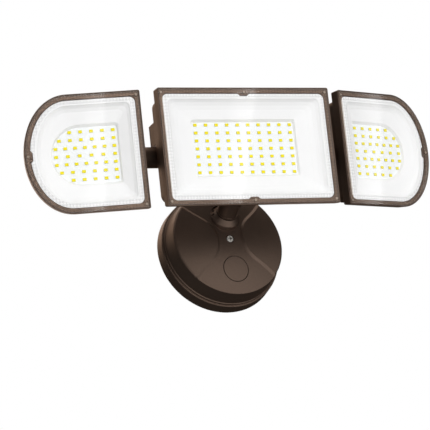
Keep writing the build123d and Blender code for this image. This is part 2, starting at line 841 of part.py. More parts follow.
# Gasket, cover and screws that close the driver box
with BuildPart() as driver_gasket:
    with BuildSketch(centre_plane.offset(-box_back)):
        add(driver_rectangle(driver_back, 0))
        add(driver_rectangle(driver_back, driver_wall), mode=Mode.SUBTRACT)
        with Locations(*driver_screw_places):
            Circle(driver_boss_radius)
            Circle(driver_screw_radius + seat_gap, mode=Mode.SUBTRACT)
    extrude(amount=-driver_gasket_thickness)
save(driver_gasket, "driver_gasket")
cover_plane = centre_plane.offset(-box_back - driver_gasket_thickness)
with BuildPart() as driver_cover:
    with BuildSketch(cover_plane):
        add(driver_rectangle(driver_back, 0))
        with Locations(*driver_screw_places):
            Circle(driver_screw_radius + seat_gap, mode=Mode.SUBTRACT)
    extrude(amount=-driver_cover_thickness)
save(driver_cover, "driver_cover")
with BuildPart() as driver_cover_screws:
    with BuildSketch(cover_plane.offset(-driver_cover_thickness)):
        with Locations(*driver_screw_places):
            Circle(driver_screw_head)
    extrude(amount=-driver_screw_head_height)
    with BuildSketch(cover_plane.offset(-driver_cover_thickness)):
        with Locations(*driver_screw_places):
            Circle(driver_screw_radius)
    extrude(amount=driver_screw_length)
save(driver_cover_screws, "driver_cover_screws")

# Right-hand housing: shell, fins that follow its rounded end, and the two hinge ears
hinge_plane = Plane(
    origin=right_plane.from_local_coords((hinge_local_x, 0, -hinge_setback)),
    x_dir=side_front,
    z_dir=head_up,
)
hinge_outer = hinge_tongue / 2 + face_gap + hinge_ear
with BuildPart() as side_fins:
    with BuildSketch(right_plane.offset(-tray_depth)):
        fin_inset = tray_side_inset + tray_side_taper + fin_margin
        add(side_outline(fin_inset, tray_top_inset + tray_top_taper + fin_margin, tray_corner - fin_margin))
    extrude(amount=-fin_height)
    with BuildSketch(right_plane.offset(-tray_depth)):
        first = hinge_local_x + 2 * hinge_radius
        count = int((side_outer_end - fin_inset - first) / fin_pitch) + 1
        for index in range(count):
            with Locations((first + index * fin_pitch, 0)):
                Rectangle(fin_thickness, head_height)
    extrude(amount=-fin_height, mode=Mode.INTERSECT)
with BuildPart() as side_housing:
    add(head_shell(right_plane, side_outline, side_tabs, side_screws))
    add(side_fins.part)
    for side in (-1, 1):
        with BuildSketch(hinge_plane.offset(side * (hinge_outer - hinge_ear / 2) - hinge_ear / 2)):
            Circle(hinge_radius)
            Rectangle(hinge_setback - tray_depth, 2 * hinge_radius, align=(Align.MIN, Align.CENTER))
            Circle(hinge_bolt_radius + slip_gap, mode=Mode.SUBTRACT)
        extrude(amount=hinge_ear)
save_pair(side_housing, "housing")

# Right-hand arm: spigot in its hub, neck, barrel, and the flat tongue of the hinge
arm_shoulder = hub_outer + seat_gap
barrel_start = arm_shoulder + neck_length
barrel_end = barrel_start + side_arm_length
eye_plane = Plane(origin=hinge_centre, x_dir=(1, 0, 0), z_dir=head_up)
with BuildPart() as side_arm:
    with BuildSketch(hub_plane.offset(barrel_start)):
        Circle(side_arm_radius)
    extrude(amount=side_arm_length)
    chamfer(side_arm.edges().filter_by(GeomType.CIRCLE), side_arm_edge)
    with BuildSketch(hub_plane.offset(arm_shoulder)):
        Circle(neck_radius)
    extrude(amount=neck_length)
    with BuildSketch(hub_plane.offset(arm_shoulder)):
        Circle(spigot_radius)
    extrude(amount=hub_inner - side_nut_thickness - seat_gap - bolt_end - arm_shoulder)
    with BuildSketch(eye_plane.offset(-hinge_tongue / 2)):
        Circle(hinge_radius)
        Rectangle(hinge_x - barrel_end + side_arm_edge, 2 * hinge_radius, align=(Align.MAX, Align.CENTER))
    extrude(amount=hinge_tongue)
    with BuildSketch(eye_plane.offset(-hinge_tongue / 2)):
        Circle(hinge_bolt_radius + slip_gap)
    extrude(amount=hinge_tongue, mode=Mode.SUBTRACT)
save_pair(side_arm, "arm")

side_nut = hexagon_nut(
    hub_plane.offset(hub_inner - side_nut_thickness - seat_gap),
    side_nut_across_flats,
    spigot_radius + slip_gap,
    side_nut_thickness,
)
save_pair(side_nut, "arm_nut")
hinge_bolt = hexagon_bolt(eye_plane.offset(hinge_outer), hinge_bolt_radius, 2 * hinge_outer, hex_nut_height)
save_pair(hinge_bolt, "hinge_bolt")
hinge_nut = hexagon_nut(
    eye_plane.offset(-hinge_outer - hex_nut_height),
    hex_across_flats,
    hinge_bolt_radius + slip_gap,
    hex_nut_height,
)
save_pair(hinge_nut, "hinge_nut")

# Windows round the LED chips at the face of each board
window_half_x = (centre_columns - 1) * centre_column_pitch / 2 + window_side
window_half_y = (centre_rows - 1) * centre_row_pitch / 2 + window_top
side_window_half = (len(side_rows) - 1) / 2 * side_row_pitch + side_window_top
side_window_end = max((count - 1) * pitch for count, pitch in side_rows) + window_side


dish_curve = [
    (flange_front, flange_side, flange_top),
    (flange_front - dish_edge_drop, flange_side + dish_edge_inset, flange_top + dish_edge_inset),
    (flange_front - dish_steep_drop, flange_side + dish_steep_side, flange_top + dish_steep_top),
    (flange_front - dish_slope_drop, flange_side + dish_slope_side, flange_top + dish_slope_top),
]
dish_floor = (flange_front - dish_floor_drop, flange_side + dish_floor_side, flange_top + dish_floor_top)


def centre_dish(wall):
    """Sections of the centre reflector's inside, or of its outside when a wall is given."""
    sections = [
        (height - wall, centre_outline(side - wall, top - wall, reflector_corner + wall))
        for height, side, top in [*dish_curve, dish_floor]
    ]
    for height, lean in [(lip_height - wall, 1), (board_front, 0)]:
        half_x = window_half_x + lean * lip_side_lean + wall
        half_y = window_half_y + lean * lip_top_lean + wall
        with BuildSketch(mode=Mode.PRIVATE) as face:
            RectangleRounded(2 * half_x, 2 * half_y, window_corner + wall)
        sections.append((height, face.sketch))
    return sections


def side_dish(wall):
    """Sections of the side reflector's inside, or of its outside when a wall is given."""
    sections = [
        (height - wall, side_outline(side - wall, top - wall, reflector_corner + wall))
        for height, side, top in dish_curve
    ]
    for height, lean in [(lip_height - wall, 1), (board_front, 0)]:
        half = side_window_half + lean * lip_top_lean + wall
        out = lean * lip_side_lean + wall
        face = d_shape(
            -window_side - out,
            side_window_end + out,
            half,
            window_end_radius + out,
            window_corner + wall,
        )
        sections.append((height, face))
    return sections


# Pieces in the centre head
with BuildPart() as centre_led_board:
    with BuildSketch(centre_plane.offset(board_back)):
        Rectangle(2 * (window_half_x + board_margin), 2 * (window_half_y + board_margin))
    extrude(amount=board_thickness)
save(centre_led_board, "centre_led_board")
with BuildPart() as centre_leds:
    with BuildSketch(centre_plane.offset(board_front)):
        with GridLocations(centre_column_pitch, centre_row_pitch, centre_columns, centre_rows):
            Rectangle(chip_width, chip_breadth)
    extrude(amount=chip_height)
save(centre_leds, "centre_leds")
centre_opening = centre_outline(band_side + face_gap, band_top + face_gap, opening_corner - face_gap)
centre_reflector = head_reflector(
    centre_plane,
    centre_opening,
    rim_tabs([(0, half_height - band_top - face_gap, 180), (0, band_top + face_gap - half_height, 0)]),
    centre_dish(0),
    centre_dish(reflector_wall),
)
save(centre_reflector, "centre_reflector")
save(head_gasket(centre_plane, centre_outline), "centre_lens_gasket")
save(head_lens(centre_plane, centre_outline, centre_screws), "centre_lens")
save(head_lens_screws(centre_plane, centre_screws), "centre_lens_screws")

# Pieces in the side heads
with BuildPart() as side_led_board:
    with BuildSketch(right_plane.offset(board_back)):
        add(
            d_shape(
                -window_side - board_margin,
                side_window_end + board_margin,
                side_window_half + board_margin,
                window_end_radius + board_margin,
                reflector_corner,
            )
        )
    extrude(amount=board_thickness)
save_pair(side_led_board, "led_board")
with BuildPart() as side_leds:
    with BuildSketch(right_plane.offset(board_front)):
        for row, (count, pitch) in enumerate(side_rows):
            level = (len(side_rows) - 1) / 2 - row
            with Locations(*[(column * pitch, level * side_row_pitch) for column in range(count)]):
                Rectangle(chip_width, chip_breadth)
    extrude(amount=chip_height)
save_pair(side_leds, "leds")
side_reflector = head_reflector(
    right_plane,
    side_outline(band_side + face_gap, band_top + face_gap, opening_corner - face_gap),
    rim_tabs([(side_outer_end - side_end_share * (band_side + face_gap), 0, 90)]),
    side_dish(0),
    side_dish(reflector_wall),
)
save_pair(side_reflector, "reflector")
save_pair(head_gasket(right_plane, side_outline), "lens_gasket")
save_pair(head_lens(right_plane, side_outline, side_screws), "lens")
save_pair(head_lens_screws(right_plane, side_screws), "lens_screws")
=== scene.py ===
"""Looks for the three-head LED floodlight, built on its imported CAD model, in metres."""

from math import cos, pi, radians, sin

import bpy
import numpy as np
from mathutils import Matrix, Vector


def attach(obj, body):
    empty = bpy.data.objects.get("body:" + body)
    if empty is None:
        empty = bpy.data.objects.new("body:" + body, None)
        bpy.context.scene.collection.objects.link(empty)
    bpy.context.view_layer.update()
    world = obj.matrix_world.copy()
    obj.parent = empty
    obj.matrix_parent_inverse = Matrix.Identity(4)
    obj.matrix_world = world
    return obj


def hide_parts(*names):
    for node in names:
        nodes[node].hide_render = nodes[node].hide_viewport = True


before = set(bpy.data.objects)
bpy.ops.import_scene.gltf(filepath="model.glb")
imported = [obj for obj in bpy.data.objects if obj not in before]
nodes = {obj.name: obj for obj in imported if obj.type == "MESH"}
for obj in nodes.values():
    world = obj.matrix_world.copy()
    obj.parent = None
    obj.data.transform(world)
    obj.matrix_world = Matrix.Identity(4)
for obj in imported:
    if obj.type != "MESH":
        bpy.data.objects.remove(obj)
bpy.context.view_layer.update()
scene = bpy.context.scene
scene.view_settings.view_transform = "Standard"


# Castings: the canopy and its plug, the lock ring, the arms, the housings and the driver cover.
# They are cast metal with a bronze powder coat: dark brown, with a fine orange peel and small flecks.
# A bevel in the shading stands for the slight rounding that the coat gives to every edge.
def node(tree, kind, inputs=(), **settings):
    """Add a shader node with its settings, and give each named input a value or a link from an output."""
    made = tree.nodes.new("ShaderNode" + kind)
    for name, value in settings.items():
        setattr(made, name, value)
    for name, value in dict(inputs).items():
        if isinstance(value, bpy.types.NodeSocket):
            tree.links.new(value, made.inputs[name])
        else:
            made.inputs[name].default_value = value
    return made


def ramp(tree, value, low, high, to_low=0.0, to_high=1.0, **settings):
    """Output of a map range node, which carries the span from low to high to another span."""
    spans = {"Value": value, "From Min": low, "From Max": high, "To Min": to_low, "To Max": to_high}
    return node(tree, "MapRange", spans, **settings).outputs[0]


def blend(tree, share, first, second):
    """Output of a colour mix, which goes from the first colour to the second."""
    return node(tree, "Mix", {0: share, 6: first, 7: second}, data_type="RGBA").outputs[2]


def new_group(name, inputs, outputs):
    """Shader node group with its sockets, its input node and its output node."""
    tree = bpy.data.node_groups.new(name, "ShaderNodeTree")
    for socket, kind in inputs:
        tree.interface.new_socket(socket, in_out="INPUT", socket_type="NodeSocket" + kind)
    for socket, kind in outputs:
        tree.interface.new_socket(socket, in_out="OUTPUT", socket_type="NodeSocket" + kind)
    return tree, tree.nodes.new("NodeGroupInput"), tree.nodes.new("NodeGroupOutput")


# Mottle: soft noise that goes from a dark colour to a light one, for most of the finishes below
tree, given, result = new_group(
    "mottle",
    [("Place", "Vector"), ("Scale", "Float"), ("Detail", "Float"), ("Dark", "Color"), ("Light", "Color")],
    [("Colour", "Color"), ("Grain", "Float")],
)
cells = {name: given.outputs[name] for name in ("Scale", "Detail")}
grain = node(tree, "TexNoise", {"Vector": given.outputs["Place"], **cells}).outputs["Fac"]
colour = blend(tree, grain, given.outputs["Dark"], given.outputs["Light"])
tree.links.new(grain, result.inputs["Grain"])
tree.links.new(colour, result.inputs["Colour"])
mottle = tree


def mottled(tree, place, dark, light, scale, detail):
    """Mottle group at a place: its colour goes from dark to light with its grain."""
    values = {"Place": place, "Scale": scale, "Detail": detail, "Dark": dark, "Light": light}
    return node(tree, "Group", values, node_tree=mottle)


def new_material(name):
    """Material with an empty node tree, and the output that gives a place on the piece."""
    material = bpy.data.materials.new(name)
    material.use_nodes = True
    tree = material.node_tree
    tree.nodes.clear()
    return material, tree, node(tree, "TexCoord").outputs["Object"]


def show_surface(tree, inputs):
    """Principled surface with the given inputs, joined to the material's output."""
    surface = node(tree, "BsdfPrincipled", inputs)
    node(tree, "OutputMaterial", {"Surface": surface.outputs[0]})


def dress(names, material):
    """Give CAD nodes a material in place of the one they were packed with."""
    for name in names:
        nodes[name].data.materials.clear()
        nodes[name].data.materials.append(material)


bronze_dark = (0.155, 0.108, 0.083, 1.0)
bronze_light = (0.175, 0.123, 0.095, 1.0)
coat_edge_round = 0.0005
peel_depth = 0.0003
bronze, tree, place = new_material("bronze_powder_coat")
cloud = mottled(tree, place, bronze_dark, bronze_light, scale=45.0, detail=3.0)
peel = node(tree, "TexNoise", {"Vector": place, "Scale": 1100.0, "Detail": 2.0}).outputs["Fac"]
fleck = ramp(tree, peel, 0.3, 0.7, 0.94, 1.06)
coat = node(tree, "HueSaturation", {"Value": fleck, "Color": cloud.outputs["Colour"]})
rounded = node(tree, "Bevel", {"Radius": coat_edge_round}, samples=4).outputs[0]
skin = node(tree, "Bump", {"Height": peel, "Strength": 0.12, "Distance": peel_depth, "Normal": rounded})
show_surface(
    tree,
    {
        "Base Color": coat.outputs[0],
        "Metallic": 0.82,
        "Specular Tint": (0.80, 0.60, 0.48, 1.0),
        "Roughness": ramp(tree, cloud.outputs["Grain"], 0.0, 1.0, 0.36, 0.46),
        "Normal": skin.outputs[0],
    },
)
castings = ["canopy", "canopy_plug", "arm_lock_ring", "main_arm", "centre_housing", "driver_cover"]
castings += ["right_arm", "left_arm", "right_housing", "left_housing"]
dress(castings, bronze)


# Fasteners: the crossbar, screws, bolts and nuts, of zinc-plated steel with a fine brushed grain.
# The lens screws are of a duller, warmer steel.
# Recesses are darkened with painted shade, so that the cross in a screw head shows.
def brushed_steel(name, dark, light, smooth, coarse, metallic):
    """Steel whose colour and roughness follow a grain that is drawn out along the level directions."""
    recess_reach = 0.0015
    material, tree, place = new_material(name)
    drawn_out = node(tree, "Mapping", {"Vector": place, "Scale": (300.0, 300.0, 2400.0)}).outputs[0]
    brush = mottled(tree, drawn_out, dark, light, scale=1.0, detail=3.0)
    # Painted shade: ambient occlusion darkens the colour in recesses and creases
    openness = node(tree, "AmbientOcclusion", {"Distance": recess_reach}, samples=8, only_local=True)
    painted_recess_shade = ramp(tree, openness.outputs["AO"], 0.45, 0.9, 0.08, 1.0)
    recess_shaded_colour = node(tree, "HueSaturation", {"Value": painted_recess_shade, "Color": brush.outputs["Colour"]})
    rough = ramp(tree, brush.outputs["Grain"], 0.0, 1.0, smooth, coarse)
    show_surface(tree, {"Base Color": recess_shaded_colour.outputs[0], "Metallic": metallic, "Roughness": rough})
    return material


zinc_dark = (0.72, 0.69, 0.63, 1.0)
zinc_light = (0.86, 0.83, 0.77, 1.0)
fasteners = ["crossbar", "canopy_screw", "arm_nut", "knuckle_bolt", "knuckle_nut", "driver_cover_screws"]
fasteners += [side + name for side in ("right_", "left_") for name in ("arm_nut", "hinge_bolt", "hinge_nut")]
plated_steel = brushed_steel("plated_steel", zinc_dark, zinc_light, smooth=0.25, coarse=0.40, metallic=0.5)
dress(fasteners, plated_steel)

warm_dark = (0.42, 0.34, 0.27, 1.0)
warm_light = (0.54, 0.45, 0.37, 1.0)
head_names = ("centre", "right", "left")
screw_steel = brushed_steel("screw_steel", warm_dark, warm_light, smooth=0.40, coarse=0.55, metallic=0.8)
dress([head + "_lens_screws" for head in head_names], screw_steel)


# Seals behind the canopy and round the driver box: black rubber sheet with fine pores.
# They are cut flat and pressed between the castings and what they close on.
rubber_dark = (0.012, 0.012, 0.012, 1.0)
rubber_light = (0.03, 0.03, 0.03, 1.0)
pore_depth = 0.0002
rubber, tree, place = new_material("seal_rubber")
pores = mottled(tree, place, rubber_dark, rubber_light, scale=900.0, detail=2.0)
skin = node(tree, "Bump", {"Height": pores.outputs["Grain"], "Strength": 0.2, "Distance": pore_depth})
show_surface(tree, {"Base Color": pores.outputs["Colour"], "Roughness": 0.7, "Normal": skin.outputs[0]})
dress(["canopy_gasket", "driver_gasket"], rubber)


# Lens seals: dark brown rubber between the housings and the lenses, pressed by the lens screws.
# Their colour is close to the coat, so they hardly show beside the rim.
seal_dark = (0.075, 0.055, 0.044, 1.0)
seal_light = (0.095, 0.070, 0.056, 1.0)
seal_brown, tree, place = new_material("lens_seal")
pores = mottled(tree, place, seal_dark, seal_light, scale=900.0, detail=2.0)
show_surface(tree, {"Base Color": pores.outputs["Colour"], "Roughness": 0.4})
dress([head + "_lens_gasket" for head in head_names], seal_brown)


# Driver board: a circuit board in the box behind the centre head, under a screwed cover.
# It has a green lacquer with lighter patches.
lacquer_dark = (0.02, 0.10, 0.04, 1.0)
lacquer_light = (0.05, 0.16, 0.07, 1.0)
lacquer, tree, place = new_material("driver_lacquer")
patch = node(tree, "TexVoronoi", {"Vector": place, "Scale": 160.0}).outputs["Distance"]
green = blend(tree, patch, lacquer_dark, lacquer_light)
show_surface(tree, {"Base Color": green, "Roughness": 0.35})
dress(["driver_board"], lacquer)


# Reflector trays: dished frames round the LED boards that throw the light forward.
# They are moulded in matt white plastic, which is slightly uneven.
tray_dark = (0.93, 0.93, 0.93, 1.0)
tray_light = (0.96, 0.96, 0.96, 1.0)
ripple_depth = 0.0005
tray_white, tree, place = new_material("reflector_white")
ripple = mottled(tree, place, tray_dark, tray_light, scale=60.0, detail=2.0)
skin = node(tree, "Bump", {"Height": ripple.outputs["Grain"], "Strength": 0.05, "Distance": ripple_depth})
show_surface(tree, {"Base Color": ripple.outputs["Colour"], "Roughness": 0.5, "Normal": skin.outputs[0]})
dress([head + "_reflector" for head in head_names], tray_white)


# LED boards: flat plates on the floors of the housings, which carry the chips.
# They have a cool white solder mask, faintly lighter over broad copper areas.
mask_dark = (0.92, 0.95, 0.96, 1.0)
mask_light = (0.95, 0.97, 0.98, 1.0)
mask_white, tree, place = new_material("board_white")
copper = mottled(tree, place, mask_dark, mask_light, scale=40.0, detail=1.0)
show_surface(tree, {"Base Color": copper.outputs["Colour"], "Roughness": 0.5})
dress([head + "_led_board" for head in head_names], mask_white)


# LED chips: small packages with a pool of yellow phosphor in the top, soldered to the boards in rows.
# Each takes the place and size of its plain CAD block, with cut corners and a bevelled top edge.
# The package sides carry a dark olive grey: painted shade for the shaded edges of the chips
package_side_shade = (0.34, 0.32, 0.18, 1.0)
phosphor_dark = (0.90, 0.78, 0.005, 1.0)
phosphor_light = (0.94, 0.84, 0.02, 1.0)
phosphor, tree, place = new_material("led_package")
pool = node(tree, "Attribute", attribute_name="phosphor").outputs["Fac"]
powder = mottled(tree, place, phosphor_dark, phosphor_light, scale=1500.0, detail=1.0)
chip = blend(tree, ramp(tree, pool, 0.2, 0.6), package_side_shade, powder.outputs["Colour"])
show_surface(tree, {"Base Color": chip, "Roughness": 0.6, "Specular IOR Level": 0.1})

mm = 0.001
head_tilt = radians(15.0)
side_yaw = radians(15.0)


def head_axes(yaw):
    """Across, up and front of a head, which tips down by the tilt and turns to the right by the yaw."""
    right = np.array((1.0, 0.0, 0.0))
    up = np.array((0.0, -sin(head_tilt), cos(head_tilt)))
    ahead = np.array((0.0, -cos(head_tilt), -sin(head_tilt)))
    return np.array((right * cos(yaw) - ahead * sin(yaw), up, right * sin(yaw) + ahead * cos(yaw)))


def corners_along(name, axes):
    """Corners of a CAD node, measured along the axes of a head."""
    mesh = nodes[name].data
    corners = np.empty(3 * len(mesh.vertices))
    mesh.vertices.foreach_get("co", corners)
    return corners.reshape(-1, 3) @ axes.T


def led_blocks(name, axes):
    """Lowest and highest corners of each CAD block of a head, stored as six sides of four corners."""
    sides = 6
    blocks = corners_along(name, axes).reshape(-1, 4 * sides, 3)
    return blocks.min(axis=1), blocks.max(axis=1)


def led_chips(name, body, replaced, axes):
    """One package for each CAD block of a head.

    A package is five rings of eight points. Each ring is the block's outline with its corners cut,
    set in from the sides and down from the top. The rings are joined one to the next, and the first
    and the last are closed.
    """
    low, high = led_blocks(replaced, axes)
    middle = ((low + high) / 2)[:, None, None]
    half = ((high - low) / 2)[:, None, None]
    height = (high - low)[0, 2]
    set_down = np.array((height, 0.20 * mm, 0.10 * mm, 0.0, 0.0))[:, None]
    set_in = np.array((0.0, 0.0, 0.0, 0.07 * mm, 0.15 * mm))[:, None]
    in_pool = np.array((0.0, 0.0, 1.0, 1.0, 1.0))
    corner_cut = 0.12 * mm
    sign_across = np.array((1, 1, -1, -1, -1, -1, 1, 1))
    sign_up = np.array((1, 1, 1, 1, -1, -1, -1, -1))
    cut_across = corner_cut * np.array((0, 1, 1, 0, 0, 1, 1, 0))
    cut_up = corner_cut - cut_across
    across = middle[..., 0] + sign_across * (half[..., 0] - set_in - cut_across)
    up = middle[..., 1] + sign_up * (half[..., 1] - set_in - cut_up)
    front = np.broadcast_to(high[:, None, None, 2] - set_down, across.shape)
    points = np.stack([across, up, front], axis=-1).reshape(-1, 3) @ axes
    chips, rings, sides = across.shape
    ring, step = np.meshgrid(np.arange(rings - 1), np.arange(sides), indexing="ij")
    here = sides * ring + step
    after = sides * ring + (step + 1) % sides
    walls = np.stack([here, after, after + sides, here + sides], axis=-1).reshape(-1, 4)
    starts = rings * sides * np.arange(chips)
    quads = (starts[:, None, None] + walls).reshape(-1, 4)
    bottoms = starts[:, None] + np.arange(sides)[::-1]
    tops = starts[:, None] + sides * (rings - 1) + np.arange(sides)
    mesh = bpy.data.meshes.new(name)
    mesh.from_pydata(points.tolist(), [], quads.tolist() + bottoms.tolist() + tops.tolist())
    glow = np.tile(np.repeat(in_pool, sides), chips)
    mesh.attributes.new("phosphor", "FLOAT", "POINT").data.foreach_set("value", glow)
    mesh.materials.append(phosphor)
    piece = bpy.data.objects.new(name, mesh)
    scene.collection.objects.link(piece)
    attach(piece, body)
    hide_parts(replaced)


axes_of = {"centre": head_axes(0.0), "right": head_axes(side_yaw), "left": head_axes(-side_yaw)}
for head in head_names:
    led_chips(head + "_chips", head + "_head", head + "_leds", axes_of[head])


# Lenses: clear plastic plates, screwed to the housings over the seals and smooth above the chips.
# Small pillows are moulded all round the border: a warm rim over the metal, then a flange over the tray.
# The pattern follows the distance from the head's outline, in millimetres along the head's axes.
def lens_datum(head):
    """Place along a head's axes at the middle row of its chips, in the middle column or the inner one."""
    column_share = {"centre": 0.5, "right": 0.0, "left": 1.0}[head]
    low, high = led_blocks(head + "_leds", axes_of[head])
    middles = (low + high) / 2
    first = middles.min(axis=0)
    return first + (middles.max(axis=0) - first) * (column_share, 0.5, 0.5)


def maths(tree, operation, first, second=0.0):
    """Output of a maths node."""
    return node(tree, "Math", {0: first, 1: second}, operation=operation).outputs[0]


outline_half_height = 58.9
centre_half_width = 92.7
side_inner_edge = 28.1
side_end_start = 44.1
side_end_length = 45.0

# Distance from the straight sides of the centre head
tree, given, result = new_group("rectangle_edge", [("Point", "Vector")], [("Distance", "Float")])
axis = node(tree, "SeparateXYZ", {0: given.outputs["Point"]})
from_side = maths(tree, "SUBTRACT", centre_half_width, maths(tree, "ABSOLUTE", axis.outputs["X"]))
from_top = maths(tree, "SUBTRACT", outline_half_height, maths(tree, "ABSOLUTE", axis.outputs["Y"]))
tree.links.new(maths(tree, "MINIMUM", from_side, from_top), result.inputs["Distance"])
rectangle_edge = tree

# Distance from the side head's inner edge, or from its top, bottom and outer end, half an ellipse.
# The latter is how far the ellipse's level falls short of one, over the slope of that level.
tree, given, result = new_group("rounded_edge", [("Point", "Vector")], [("Distance", "Float")])
axis = node(tree, "SeparateXYZ", {0: given.outputs["Point"]})
past_start = maths(tree, "MAXIMUM", maths(tree, "SUBTRACT", axis.outputs["X"], side_end_start), 0.0)
end_share = maths(tree, "POWER", maths(tree, "DIVIDE", past_start, side_end_length), 2.0)
up_share = maths(tree, "POWER", maths(tree, "DIVIDE", axis.outputs["Y"], outline_half_height), 2.0)
reach = maths(tree, "SQRT", maths(tree, "ADD", end_share, up_share))
end_slope = maths(tree, "DIVIDE", end_share, side_end_length**2)
up_slope = maths(tree, "DIVIDE", up_share, outline_half_height**2)
least_slope = 1e-8
slope = maths(tree, "SQRT", maths(tree, "ADD", maths(tree, "ADD", end_slope, up_slope), least_slope))
shortfall = maths(tree, "MULTIPLY", maths(tree, "SUBTRACT", 1.0, reach), reach)
from_end = maths(tree, "DIVIDE", shortfall, slope)
from_inner = maths(tree, "ADD", axis.outputs["X"], side_inner_edge)
tree.links.new(maths(tree, "MINIMUM", from_inner, from_end), result.inputs["Distance"])
rounded_edge = tree

# Pillows, as the sum of two waves, and the two zones of the border with softened edges
pillow_pitch = 3.2
zone_blur = 0.3
zones = {"Rim": (1.2, 5.3), "Flange": (5.6, 10.4)}
tree, given, result = new_group(
    "waffle",
    [("Point", "Vector"), ("Distance", "Float")],
    [("Pillow", "Float"), ("Rim", "Float"), ("Flange", "Float")],
)
axis = node(tree, "SeparateXYZ", {0: given.outputs["Point"]})
turns = [maths(tree, "MULTIPLY", axis.outputs[way], 2 * pi / pillow_pitch) for way in "XY"]
waves = [maths(tree, "COSINE", turn) for turn in turns]
pillow = ramp(tree, maths(tree, "ADD", waves[0], waves[1]), -0.7, 1.0)
tree.links.new(pillow, result.inputs["Pillow"])
for zone, (near, far) in zones.items():
    rise = ramp(tree, given.outputs["Distance"], near, near + zone_blur)
    fall = ramp(tree, given.outputs["Distance"], far, far - zone_blur)
    tree.links.new(maths(tree, "MINIMUM", rise, fall), result.inputs[zone])
waffle = tree


def lens_material(name, edge, head, flipped=False):
    """Clear plastic with the waffle of one head, see-through to shadows so that light reaches the tray."""
    rim_seam_shade = 0.45
    flange_seam_shade = 0.28
    rim_haze = 0.12
    flange_haze = 0.03
    clear_tint = (0.99, 0.99, 0.99, 1.0)
    warm_tint = (0.98, 0.88, 0.76, 1.0)
    painted_seam_shade = (0.0, 0.0, 0.0, 1.0)
    milk_tint = (0.74, 0.56, 0.46, 1.0)
    shadow_tint = (0.97, 0.97, 0.97, 1.0)
    material, tree, place = new_material(name)
    into_head = {
        "Vector": place,
        "Location": (-lens_datum(head) / mm).tolist(),
        "Rotation": Matrix(axes_of[head].tolist()).to_euler(),
        "Scale": (-1 / mm if flipped else 1 / mm, 1 / mm, 1 / mm),
    }
    point = node(tree, "Mapping", into_head).outputs[0]
    distance = node(tree, "Group", {"Point": point}, node_tree=edge).outputs["Distance"]
    pattern = node(tree, "Group", {"Point": point, "Distance": distance}, node_tree=waffle)
    outside = maths(tree, "SUBTRACT", 1.0, node(tree, "NewGeometry").outputs["Backfacing"])
    rim = maths(tree, "MULTIPLY", pattern.outputs["Rim"], outside)
    flange = maths(tree, "MULTIPLY", pattern.outputs["Flange"], outside)
    # Painted shade: the lines between the pillows are darkened in the transmitted colour, most over the rim,
    # for the light that the pillows bend away
    seam = maths(tree, "SUBTRACT", 1.0, pattern.outputs["Pillow"])
    rim_depth = maths(tree, "MULTIPLY", rim, rim_seam_shade)
    flange_depth = maths(tree, "MULTIPLY", flange, flange_seam_shade)
    dimming = maths(tree, "MULTIPLY", seam, maths(tree, "ADD", rim_depth, flange_depth))
    tint = blend(tree, dimming, blend(tree, rim, clear_tint, warm_tint), painted_seam_shade)
    glass = node(
        tree,
        "BsdfPrincipled",
        {"Base Color": tint, "Roughness": 0.02, "IOR": 1.38, "Transmission Weight": 1.0},
    )
    milk = node(tree, "BsdfDiffuse", {"Color": milk_tint})
    bloom = maths(tree, "MULTIPLY", pattern.outputs["Pillow"], flange)
    rim_milk = maths(tree, "MULTIPLY", rim, rim_haze)
    flange_milk = maths(tree, "MULTIPLY", bloom, flange_haze)
    haze = maths(tree, "ADD", rim_milk, flange_milk)
    plate = node(tree, "MixShader", {0: haze, 1: glass.outputs[0], 2: milk.outputs[0]})
    path = node(tree, "LightPath")
    passing = maths(tree, "MAXIMUM", path.outputs["Is Shadow Ray"], path.outputs["Is Diffuse Ray"])
    clear = node(tree, "BsdfTransparent", {"Color": shadow_tint})
    both = node(tree, "MixShader", {0: passing, 1: plate.outputs[0], 2: clear.outputs[0]})
    node(tree, "OutputMaterial", {"Surface": both.outputs[0]})
    return material


dress(["centre_lens"], lens_material("centre_lens_clear", rectangle_edge, "centre"))
dress(["right_lens"], lens_material("right_lens_clear", rounded_edge, "right"))
dress(["left_lens"], lens_material("left_lens_clear", rounded_edge, "right", flipped=True))


# Camera: a long lens below the floodlight and to its left, rolled a little.
# It was fitted to the photograph from the outlines of the canopy and the heads.
camera = bpy.data.objects.new("camera", bpy.data.cameras.new("camera"))
camera.location = (-1.003686, -2.003943, -0.959014)
camera.rotation_euler = (radians(114.692), radians(11.812), radians(-21.458))
camera.data.lens = 201.434
camera.data.sensor_width = 36.0
scene.collection.objects.link(camera)
scene.camera = camera


# Lamps: large soft boxes round the floodlight, placed by where they stand and where they point.
# The front, low and fill lamps light the white trays evenly and stay out of reflections, so the lenses
# keep clear. The back lamp and the left one also gleam on the bronze.
def softbox(name, place, aim, size, power, mirrored=True):
    """Rectangular area lamp that faces a point, shown in reflections or not."""
    lamp = bpy.data.lights.new(name, "AREA")
    lamp.shape = "RECTANGLE"
    lamp.size, lamp.size_y = size
    lamp.energy = power
    stand = bpy.data.objects.new(name, lamp)
    stand.location = place
    stand.rotation_euler = (Vector(aim) - Vector(place)).to_track_quat("-Z", "Y").to_euler()
    stand.visible_glossy = mirrored
    scene.collection.objects.link(stand)


centre_front = (0.0, -0.1, 0.05)
left_front = (-0.13, -0.1, 0.06)
right_front = (0.13, -0.1, 0.06)
softbox("front_lamp", (0.1, -2.2, 0.65), centre_front, size=(1.4, 1.2), power=15.6, mirrored=False)
softbox("left_fill", (-1.9, -1.2, 0.1), left_front, size=(1.0, 1.0), power=7.5, mirrored=False)
softbox("right_fill", (1.9, -1.2, 0.1), right_front, size=(1.0, 1.0), power=3.6, mirrored=False)
softbox("low_lamp", (0.1, -2.0, -1.0), centre_front, size=(1.4, 1.0), power=12.8, mirrored=False)
softbox("back_lamp", (0.4, 2.2, 0.9), (0.0, 0.0, 0.05), size=(1.6, 1.4), power=13.0)
softbox("left_lamp", (-1.2, -1.1, 1.3), (-0.05, -0.08, 0.05), size=(1.0, 1.0), power=3.0)


